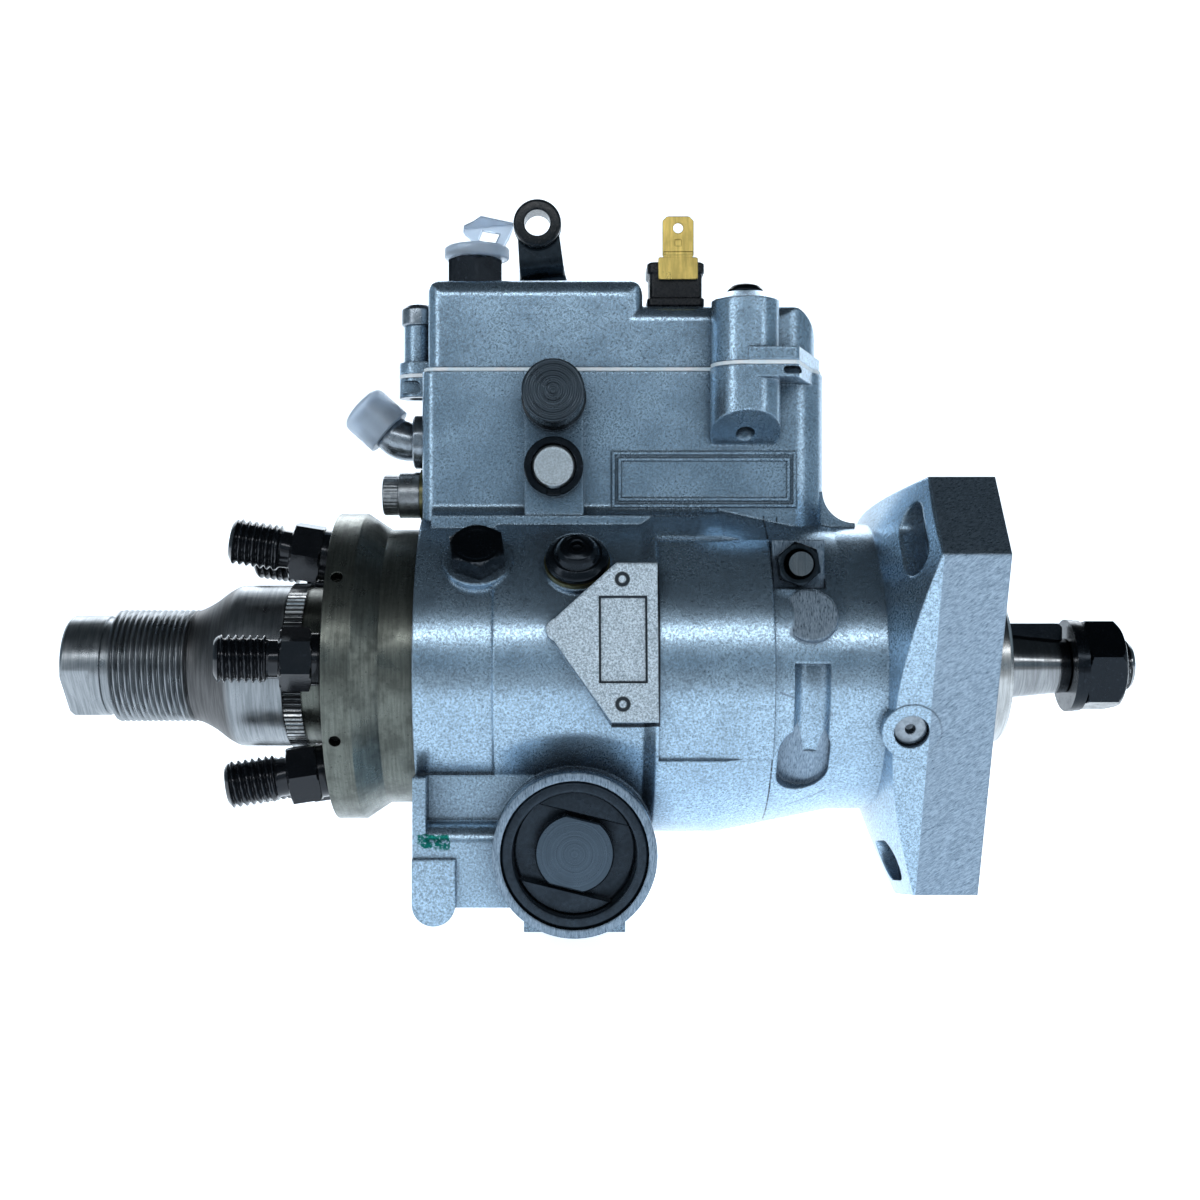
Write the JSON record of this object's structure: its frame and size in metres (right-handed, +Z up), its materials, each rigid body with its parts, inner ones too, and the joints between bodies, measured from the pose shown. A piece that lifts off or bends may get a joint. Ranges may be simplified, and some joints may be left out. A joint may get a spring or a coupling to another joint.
{
  "type": "rotary diesel injection pump",
  "caption": "Distributor injection pump with a triangular flange, tapered drive shaft, governor box on top, cross-mounted advance piston and outlets round the rear head.",
  "frame": {"origin": "on the drive shaft's axis, in the front face of the mounting flange", "axes": "+X along the drive shaft towards the drive end, +Y to the throttle lever's side, +Z up to the governor cover"},
  "size_m": [0.2852, 0.1165, 0.197],
  "materials": {
    "cast": "rough cast",
    "machined": "machined",
    "steel": "ground",
    "head": "dull oiled steel",
    "black": "black oxide",
    "zinc": "bluish zinc plate",
    "advance": "dark blue-grey coating",
    "brass": "dull olive brass",
    "plastic": "black",
    "insulator": "moulded black",
    "cap": "milky translucent",
    "gasket": "pale fibre",
    "rubber": "black rubber",
    "coil": "varnished winding"
  },
  "bodies": {
    "housing": {"pump_housing": "cast", "pilot_tube": "steel", "rubber_seals": "rubber", "hydraulic_head": "head", "head_bolts": "black", "governor_cover": "cast", "cover_gasket": "gasket", "cover_screws": "zinc", "shutoff_coil": "coil", "terminal_insulator": "insulator", "terminal_blade": "brass", "return_fitting": "zinc", "elbow_fitting": "zinc", "shipping_caps": "cap", "screw_plugs": "black", "sealing_washers": "brass", "discharge_fittings": "black", "lock_ring": "machined", "end_cap": "machined", "transfer_liner": "steel", "arm_pivot_shaft": "steel", "pivot_nuts": "zinc", "blanking_plug": "machined", "plug_snap_ring": "black", "throttle_shaft_cap": "plastic", "advance_caps": "advance", "regulator_spring": "steel", "advance_spring": "steel", "governor_spring": "steel"},
    "drive": {"drive_shaft": "steel", "shaft_key": "black", "shaft_washers": "zinc", "shaft_nut": "black", "weight_retainer": "steel", "rotor": "steel", "transfer_blades": "steel"},
    "sleeve": {"thrust_sleeve": "steel"},
    "weight_1": {"governor_weight_1": "steel"},
    "weight_2": {"governor_weight_2": "steel"},
    "weight_3": {"governor_weight_3": "steel"},
    "weight_4": {"governor_weight_4": "steel"},
    "weight_5": {"governor_weight_5": "steel"},
    "weight_6": {"governor_weight_6": "steel"},
    "arm": {"governor_arm": "zinc"},
    "hook": {"linkage_hook": "steel"},
    "valve": {"metering_valve": "steel"},
    "throttle": {"throttle_shaft": "steel", "throttle_lever": "zinc", "lever_bush": "plastic"},
    "armature": {"shutoff_armature": "steel"},
    "cam": {"cam_ring": "steel", "cam_pin": "steel"},
    "advance": {"advance_piston": "steel"},
    "regulator": {"regulator_piston": "steel"},
    "plunger_upper": {"plunger_1": "steel", "roller_shoe_1": "steel"},
    "plunger_lower": {"plunger_2": "steel", "roller_shoe_2": "steel"},
    "roller_upper": {"cam_roller_1": "steel"},
    "roller_lower": {"cam_roller_2": "steel"}
  },
  "joints": [
    {"name": "drive_turn", "type": "hinge", "parent": "housing", "child": "drive", "pos_m": [0, 0, 0], "axis": [1, 0, 0], "continuous": true},
    {"name": "sleeve_slide", "type": "slide", "parent": "drive", "child": "sleeve", "axis": [1, 0, 0], "range_m": [0, 0.003]},
    {"name": "weight_1_swing", "type": "hinge", "parent": "drive", "child": "weight_1", "pos_m": [-0.0865, 0.025, 0], "axis": [0, 0, 1], "range_deg": [0, 15]},
    {"name": "weight_2_swing", "type": "hinge", "parent": "drive", "child": "weight_2", "pos_m": [-0.0865, 0.0125, 0.02165], "axis": [0, -0.866, 0.5], "range_deg": [0, 15]},
    {"name": "weight_3_swing", "type": "hinge", "parent": "drive", "child": "weight_3", "pos_m": [-0.0865, -0.0125, 0.02165], "axis": [0, -0.866, -0.5], "range_deg": [0, 15]},
    {"name": "weight_4_swing", "type": "hinge", "parent": "drive", "child": "weight_4", "pos_m": [-0.0865, -0.025, 0], "axis": [0, 0, -1], "range_deg": [0, 15]},
    {"name": "weight_5_swing", "type": "hinge", "parent": "drive", "child": "weight_5", "pos_m": [-0.0865, -0.0125, -0.02165], "axis": [0, 0.866, -0.5], "range_deg": [0, 15]},
    {"name": "weight_6_swing", "type": "hinge", "parent": "drive", "child": "weight_6", "pos_m": [-0.0865, 0.0125, -0.02165], "axis": [0, 0.866, 0.5], "range_deg": [0, 15]},
    {"name": "arm_swing", "type": "hinge", "parent": "housing", "child": "arm", "pos_m": [-0.0478, 0, 0.0266], "axis": [0, 1, 0], "range_deg": [-6.6, 0], "deforming": ["governor_spring"]},
    {"name": "hook_swing", "type": "hinge", "parent": "arm", "child": "hook", "pos_m": [-0.0478, 0.0075, 0.062], "axis": [0, 1, 0], "range_deg": [0, 6.6]},
    {"name": "valve_turn", "type": "hinge", "parent": "housing", "child": "valve", "pos_m": [-0.1254, 0, 0.04], "axis": [0, 0, 1], "range_deg": [0, 29]},
    {"name": "throttle_turn", "type": "hinge", "parent": "housing", "child": "throttle", "pos_m": [-0.1088, 0, 0.0694], "axis": [0, 1, 0], "range_deg": [0, 45]},
    {"name": "armature_swing", "type": "hinge", "parent": "housing", "child": "armature", "pos_m": [-0.0832, 0, 0.0786], "axis": [0, 1, 0], "range_deg": [0, 8]},
    {"name": "cam_advance", "type": "hinge", "parent": "housing", "child": "cam", "pos_m": [-0.1035, 0, 0], "axis": [1, 0, 0], "range_deg": [0, 7]},
    {"name": "advance_slide", "type": "slide", "parent": "housing", "child": "advance", "axis": [0, 1, 0], "range_m": [0, 0.00537], "deforming": ["advance_spring"]},
    {"name": "regulator_slide", "type": "slide", "parent": "housing", "child": "regulator", "axis": [-1, 0, 0], "range_m": [0, 0.005], "deforming": ["regulator_spring"]},
    {"name": "plunger_upper_slide", "type": "slide", "parent": "drive", "child": "plunger_upper", "axis": [0, 0, -1], "range_m": [0, 0.0025]},
    {"name": "plunger_lower_slide", "type": "slide", "parent": "drive", "child": "plunger_lower", "axis": [0, 0, 1], "range_m": [0, 0.0025]},
    {"name": "roller_upper_turn", "type": "hinge", "parent": "plunger_upper", "child": "roller_upper", "pos_m": [-0.1035, 0, 0.0214], "axis": [1, 0, 0], "continuous": true},
    {"name": "roller_lower_turn", "type": "hinge", "parent": "plunger_lower", "child": "roller_lower", "pos_m": [-0.1035, 0, -0.0214], "axis": [1, 0, 0], "continuous": true}
  ],
  "couplings": [
    {"joint": "weight_1_swing", "follows": "sleeve_slide", "rad_per_m": 86},
    {"joint": "weight_2_swing", "follows": "sleeve_slide", "rad_per_m": 86},
    {"joint": "weight_3_swing", "follows": "sleeve_slide", "rad_per_m": 86},
    {"joint": "weight_4_swing", "follows": "sleeve_slide", "rad_per_m": 86},
    {"joint": "weight_5_swing", "follows": "sleeve_slide", "rad_per_m": 86},
    {"joint": "weight_6_swing", "follows": "sleeve_slide", "rad_per_m": 86},
    {"joint": "arm_swing", "follows": "sleeve_slide", "rad_per_m": -37.594},
    {"joint": "hook_swing", "follows": "sleeve_slide", "rad_per_m": 37.594},
    {"joint": "valve_turn", "follows": "sleeve_slide", "rad_per_m": 166.35},
    {"joint": "advance_slide", "follows": "cam_advance", "m_per_rad": 0.0439}
  ]
}
